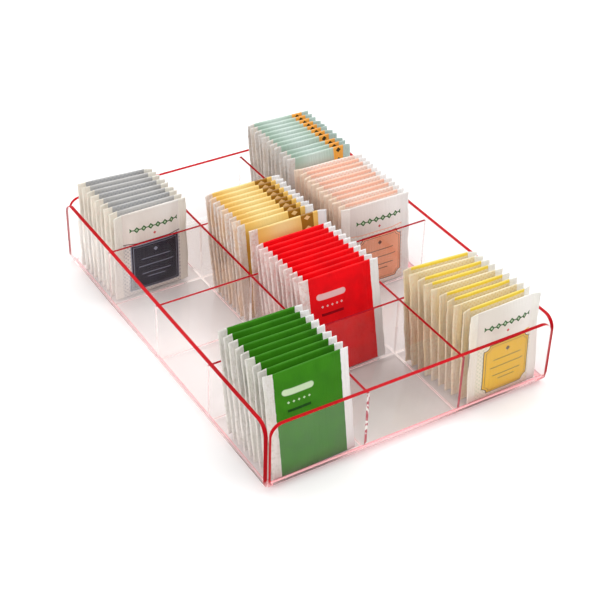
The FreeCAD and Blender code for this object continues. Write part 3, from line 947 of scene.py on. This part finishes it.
def labelPrint(base, kind):
    plan, recipe, x, z = labelPlan, base["recipe"], base["x"], base["z"]
    width, height = base["size"]
    middle, isFace = width * plan["middle"], base["isFace"]
    dots = (recipe.zigzag(value, plan["dotPitch"]) for value in (recipe.plus(x, z), recipe.minus(x, z)))
    dotted = recipe.inside(recipe.minus(recipe.plus(*dots), plan["dotSize"]), plan["dotSoft"])
    # lighter towards the right: painted light
    panel = recipe.step(x, *(width * share for share in plan["lightStep"]))
    panel = recipe.mix(panel, kind["panel"], kind["light"])
    ruleAt = height * kind["ruleAt"]
    below = recipe.step(z, ruleAt + plan["underSoft"], ruleAt)
    panel = recipe.blend(below, plan["underShare"], panel, kind["under"])
    panel = recipe.blend(below, recipe.times(dotted, plan["dotShare"]), panel, kind["dots"])
    # a line at the top of the lower part: on slate a dark line, a painted reflection of the divider's top edge; on
    # peach and yellow a line in the print's colour
    ruleAndReflection = recipe.band(z, ruleAt, ruleAt + plan["ruleWide"], plan["ruleSoft"])
    panel = recipe.mix(ruleAndReflection, panel, kind["ruleAndReflection"])
    top = recipe.blend(dotted, plan["topDots"], kind["top"], kind["topDeep"])
    tall = recipe.step(z, *(height - fall for fall in plan["topFall"]))
    panel = recipe.blend(base["isRow"], tall, panel, top)
    lip = recipe.step(z, *(height - fall for fall in plan["lipFall"]))
    panel = recipe.blend(base["isBright"], lip, panel, kind["edge"])
    labelHalf = (width * plan["labelHalf"][0], height * plan["labelHalf"][1])
    edge = plaque(recipe, (x, z), (middle, height * plan["labelAt"]), labelHalf, kind["scoop"])
    panel = recipe.blend(isFace, recipe.inside(edge), panel, makeLabel(base, kind, edge))
    shown = recipe.times(isFace, recipe.flipped(base["isRow"]))
    centre = (middle, height * plan["garlandAt"])
    return garland(recipe, (x, z), centre, width * plan["garlandReach"], panel, shown, kind["garland"])


prints = {"plain": plainPrint, "stripe": stripePrint, "label": labelPrint}

for number, (name, kind) in enumerate(sachetLooks.items()):
    dice = random.Random(sachetShape["firstSeed"] + number)
    size = sachetPlaces(name + "_front_sachet")[0]["size"][:2]
    base = paperBase(name + "Paper", size, paperLook)
    paper = finishPaper(base, kind, prints[kind["style"]](base, kind), paperLook)
    makeSachets(name + "_front_sachet", paper, dice, lambda index: frontVariant)
    # two sachets in three show a bright upper edge
    makeSachets(name + "_sachet_row", paper, dice, lambda index: rowVariant if index % 3 == 1 else brightVariant)
    print(name, "sachets done")


floorLook = {
    "reach": 6.0, "height": -0.0006, "grainScale": 60.0, "grainShare": 0.3, "light": (0.93, 0.925, 0.925),
    "deep": (0.91, 0.905, 0.905), "rough": 0.9, "refraction": 1.2, "shine": 0.5, "seenGlow": 0.10,
    "farStep": (0.5, 1.6), "bump": (0.05, 0.0005),
}


# pale paper that turns white far off, where it is seen straight or through the acrylic
def makeFloor(look):
    mesh = bpy.data.meshes.new("floor")
    reach = look["reach"]
    corners = [(x, y, look["height"]) for x, y in ((-reach, -reach), (reach, -reach), (reach, reach), (-reach, reach))]
    mesh.from_pydata(corners, [], [(0, 1, 2, 3)])
    floor = addObject("floor", mesh)
    recipe = Recipe(bpy.data.materials.new("floorPaper"))
    place = recipe.place()
    grain = recipe.noise(place, look["grainScale"])
    rays = recipe.rays()
    seen = rays["Is Camera Ray"]
    through = recipe.most(rays["Is Glossy Ray"], rays["Is Transmission Ray"])
    far = recipe.step(recipe.vector("LENGTH", place)["Value"], *look["farStep"])
    glowing = recipe.plus(recipe.times(seen, look["seenGlow"]), recipe.times(recipe.most(seen, through), far))
    colour = recipe.blend(grain, look["grainShare"], look["light"], look["deep"])
    normal = recipe.bump(grain, *look["bump"])
    mesh.materials.append(recipe.finish(recipe.surface(look, colour, look["rough"], normal, glowing=glowing)))


# metres and watts
lightPlans = {
    "keyLight": {"place": (1.2, -0.6, 1.8), "target": (0, 0, 0.03), "size": (1.5, 1.2), "power": 13},
    "topLight": {"place": (0.1, 0.9, 1.95), "target": (0, 0, 0), "size": (1.8, 1.4), "power": 28},
    "leftLight": {"place": (-1.9, -0.6, 0.9), "target": (0, 0, 0.03), "size": (1.4, 1.0), "power": 21},
    "rightLight": {"place": (1.8, 0.1, 1.2), "target": (0, 0, 0.03), "size": (1.4, 1.0), "power": 10},
}


def makeLight(name, plan):
    lamp = bpy.data.lights.new(name, "AREA")
    lamp.shape = "RECTANGLE"
    lamp.size, lamp.size_y = plan["size"]
    lamp.energy = plan["power"]
    light = addObject(name, lamp)
    light.location = plan["place"]
    toTarget = Vector(plan["target"]) - Vector(plan["place"])
    light.rotation_euler = toTarget.to_track_quat("-Z", "Y").to_euler()


studioLook = {"colour": (1, 1, 1), "lighting": 0.45, "seen": 1.0}


# soft light from all around, and white wherever the studio itself is seen
def makeWorld(look):
    recipe = Recipe(bpy.data.worlds.new("studio"))
    soft, white = (
        recipe.add("ShaderNodeBackground", {"Color": look["colour"], "Strength": look[key]}).outputs[0]
        for key in ("lighting", "seen")
    )
    rays = recipe.rays()
    seen = recipe.most(recipe.most(rays["Is Camera Ray"], rays["Is Transmission Ray"]), rays["Is Glossy Ray"])
    scene.world = recipe.finish(recipe.mixShaders(seen, soft, white), "ShaderNodeOutputWorld")


makeFloor(floorLook)
for name, plan in lightPlans.items():
    makeLight(name, plan)
makeWorld(studioLook)
scene.view_settings.view_transform = "Standard"
print("floor and lights done")
